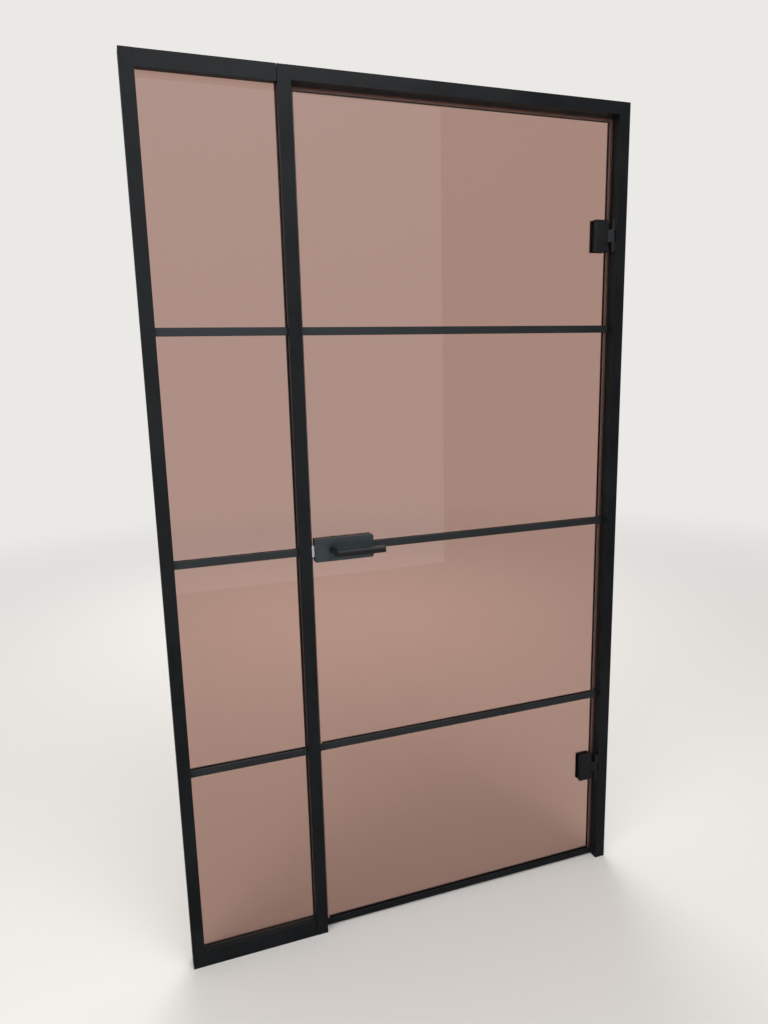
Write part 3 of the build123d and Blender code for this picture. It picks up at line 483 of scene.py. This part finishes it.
def makeScrews(name, tree, points, body, replaced, sizes):
    # points holds pairs of a place and the way that the head faces
    mesh = bpy.data.meshes.new(name + "Points")
    mesh.from_pydata([place for place, way in points], [], [])
    ways = mesh.attributes.new("way", "FLOAT_VECTOR", "POINT")
    for item, (place, way) in zip(ways.data, points):
        item.vector = way
    holder = bpy.data.objects.new(name + "Points", mesh)
    bpy.context.scene.collection.objects.link(holder)
    modifier = holder.modifiers.new("screws", "NODES")
    modifier.node_group = tree
    for item in tree.interface.items_tree:
        if item.name in sizes:
            modifier[item.identifier] = sizes[item.name]
        if item.name == "Finish":
            modifier[item.identifier] = blackScrew
    evaluated = holder.evaluated_get(bpy.context.evaluated_depsgraph_get())
    made = bpy.data.meshes.new_from_object(evaluated)
    made.materials.pop(index=0)  # the empty slot of the plain cone and cylinders
    bpy.data.objects.remove(holder)
    screws = bpy.data.objects.new(name, made)
    bpy.context.scene.collection.objects.link(screws)
    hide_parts(replaced)
    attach(screws, body)


def middle(node):
    low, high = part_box(node)
    return (low + high) / 2


screwTree = makeScrewTree()
bothSides = (-1, 1)
toRear, toRight, toLeft = (0, 1, 0), (1, 0, 0), (-1, 0, 0)

# the clamp screws go in from behind, through the glass
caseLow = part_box("lock_case")[0]
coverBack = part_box("lock_rear_cover")[1].y
lockScrewOffsets = ((0.030, -0.020), (0.138, -0.018), (0.138, 0.018))
hingeClampSpread = 0.044
lockLevel = middle("lock_case").z
clampPoints = [((caseLow.x + x, coverBack, lockLevel + z), toRear) for x, z in lockScrewOffsets]
for hinge in ("lower", "upper"):
    centre = middle(hinge + "_hinge_rear_plate")
    for side in bothSides:
        clampPoints.append(((centre.x, coverBack, centre.z + side * hingeClampSpread / 2), toRear))
makeScrews("clampScrews", screwTree, clampPoints, "leaf", "clamp_screws", screwSizes)

# the frame screws hold the strike plate and the hinge plates
frameScrewSizes = {**screwSizes, "Head Radius": 0.0043, "Length": 0.016}
strikeScrewSpread = 0.050
hingeScrewSpread = 0.056
hingePlateThickness = 0.003
hingeScrewInset = 0.0065  # from the plate's rear edge
strike = middle("strike_plate")
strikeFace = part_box("strike_plate")[1].x
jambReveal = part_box("upper_hinge_plate")[1].x
framePoints = []
for side in bothSides:
    framePoints.append(((strikeFace, strike.y, strike.z + side * strikeScrewSpread / 2), toRight))
for hinge in ("lower", "upper"):
    plateLow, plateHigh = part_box(hinge + "_hinge_plate")
    screwX = jambReveal - hingePlateThickness
    screwY = plateHigh.y - hingeScrewInset
    for side in bothSides:
        screwZ = (plateLow.z + plateHigh.z) / 2 + side * hingeScrewSpread / 2
        framePoints.append(((screwX, screwY, screwZ), toLeft))
makeScrews("frameScrews", screwTree, framePoints, "frame", "frame_screws", frameScrewSizes)
print("screws set:", len(clampPoints), "and", len(framePoints))


# Stage: a pale floor that runs into a pale backdrop. Both are darker to shiny pieces than to the
# camera, so that the glass and the black paint don't mirror a white room
backdropColour = "#ebe9e6"
mirroredStrength = 0.12
floorLook = {
    "colour": "#cac8c5",
    "roughness": 0.7,
    "fade": (1.6, 6.5),  # metres from the foot of the door, over which it runs into the backdrop
    "matting": 0.7,  # how much of the floor is left out of what shiny pieces see
    "halfWidth": 30.0,
}


def makeFloor(look):
    material, tree = newMaterial("plainFloor")
    # a ray that glass has bent counts as glossy too, and isn't a mirrored one
    path = addNode(tree, "ShaderNodeLightPath").outputs
    mirrored = combine(tree, "SUBTRACT", path["Is Glossy Ray"], path["Is Transmission Ray"], clamp=True)
    glow = addNode(tree, "ShaderNodeEmission", inputs={
        "Color": linear(backdropColour),
        "Strength": spread(tree, mirrored, wanted=(1.0, mirroredStrength))})
    coordinates = addNode(tree, "ShaderNodeTexCoord")
    distance = addNode(tree, "ShaderNodeVectorMath", {"operation": "LENGTH"}, {
        0: coordinates.outputs["Object"]})
    fade = spread(tree, distance.outputs["Value"], look["fade"], curve="SMOOTHSTEP")
    dulled = combine(tree, "MULTIPLY", mirrored, look["matting"])
    paint = principled(tree, {"Base Color": linear(look["colour"]), "Roughness": look["roughness"]})
    share = combine(tree, "MAXIMUM", fade, dulled)
    finishMaterial(tree, mixShaders(tree, share, paint, glow.outputs["Emission"]))
    half = look["halfWidth"]
    mesh = bpy.data.meshes.new("floor")
    mesh.from_pydata([(-half, -half, 0), (half, -half, 0), (half, half, 0), (-half, half, 0)],
                     [], [(0, 1, 2, 3)])
    mesh.materials.append(material)
    made = bpy.data.objects.new("floor", mesh)
    bpy.context.scene.collection.objects.link(made)
    return made


print("scene stage: floor, light and camera")
floor = makeFloor(floorLook)

# Shiny pieces see a soft light high up, which fades towards the right
worldLook = {
    "litStrength": 0.8,  # as matte surfaces see it
    "seenStrength": 1.0,  # as the camera sees it, also through the glass
    "skyColour": "#dfe7f0",
    "skyStrength": 0.6,
    "skyClimb": (0.0, 0.45),  # upward share of a direction, from where the sky begins to full
    "skyAside": (0.75, 0.1),  # rightward share of a direction, from where the sky begins to full
}


def makeWorld(look):
    world = bpy.data.worlds.new("studio")
    world.use_nodes = True
    tree = world.node_tree
    tree.nodes.clear()

    def background(colour, strength):
        return addNode(tree, "ShaderNodeBackground", inputs={
            "Color": linear(colour), "Strength": strength}).outputs["Background"]

    coordinates = addNode(tree, "ShaderNodeTexCoord")
    way = addNode(tree, "ShaderNodeSeparateXYZ", inputs={
        "Vector": coordinates.outputs["Generated"]}).outputs
    climb = spread(tree, way["Z"], look["skyClimb"], curve="SMOOTHSTEP")
    aside = spread(tree, way["X"], look["skyAside"], curve="SMOOTHSTEP")
    dull = background(backdropColour, mirroredStrength)
    sky = background(look["skyColour"], look["skyStrength"])
    mirrored = mixShaders(tree, combine(tree, "MULTIPLY", climb, aside), dull, sky)
    lit = background(backdropColour, look["litStrength"])
    seen = background(backdropColour, look["seenStrength"])
    path = addNode(tree, "ShaderNodeLightPath").outputs
    direct = combine(tree, "MAXIMUM", path["Is Camera Ray"], path["Is Transmission Ray"])
    lighting = mixShaders(tree, path["Is Glossy Ray"], lit, mirrored)
    addNode(tree, "ShaderNodeOutputWorld", inputs={"Surface": mixShaders(tree, direct, lighting, seen)})
    bpy.context.scene.world = world


makeWorld(worldLook)

# The front box is dim and large: it is there to be mirrored in the left half of the glass
middleOfDoor = (0.0, 0.0, 1.0)
plainWhite = "#ffffff"
coolWhite = "#e4ebf3"
softboxes = {
    "windowSide": {
        "place": (-3.4, -2.6, 2.4), "aim": middleOfDoor, "size": 2.6, "power": 110, "colour": plainWhite},
    "overhead": {
        "place": (0.6, -2.6, 4.6), "aim": middleOfDoor, "size": 2.4, "power": 90, "colour": plainWhite},
    "behind": {
        "place": (0.8, 3.6, 3.2), "aim": middleOfDoor, "size": 3.0, "power": 140, "colour": plainWhite},
    "front": {
        "place": (-0.04, -3.4, 1.6), "aim": (-0.04, 0.0, 1.6), "size": 3.32, "power": 30,
        "colour": coolWhite},
}
for name, box in softboxes.items():
    light = bpy.data.lights.new(name, "AREA")
    light.shape = "SQUARE"
    light.size = box["size"]
    light.energy = box["power"]
    light.color = linear(box["colour"])[:3]
    lamp = bpy.data.objects.new(name, light)
    bpy.context.scene.collection.objects.link(lamp)
    lamp.visible_camera = False
    lamp.visible_transmission = False
    aim = Vector(box["aim"]) - Vector(box["place"])
    lampTurn = aim.to_track_quat("-Z", "Y").to_matrix().to_4x4()
    lamp.matrix_world = Matrix.Translation(box["place"]) @ lampTurn

# Camera where the photograph was taken from, with the directions in which its picture runs right
# and down and in which it looks
photoCamera = {
    "place": Vector((-0.68502, -1.75762, 1.50222)),
    "right": Vector((0.941233, -0.336911, -0.023893)),
    "down": Vector((-0.08637, -0.1717, -0.981356)),
    "ahead": Vector((0.326527, 0.925749, -0.190709)),
    "lens": 26.2236,
    "sensorWidth": 36.0,
}
cameraData = bpy.data.cameras.new("photoCamera")
cameraData.lens = photoCamera["lens"]
cameraData.sensor_width = photoCamera["sensorWidth"]
camera = bpy.data.objects.new("photoCamera", cameraData)
axes = Matrix((photoCamera["right"], -photoCamera["down"], -photoCamera["ahead"])).transposed()
camera.matrix_world = Matrix.Translation(photoCamera["place"]) @ axes.to_4x4()
bpy.context.scene.collection.objects.link(camera)
bpy.context.scene.camera = camera
bpy.context.scene.view_settings.view_transform = "Standard"
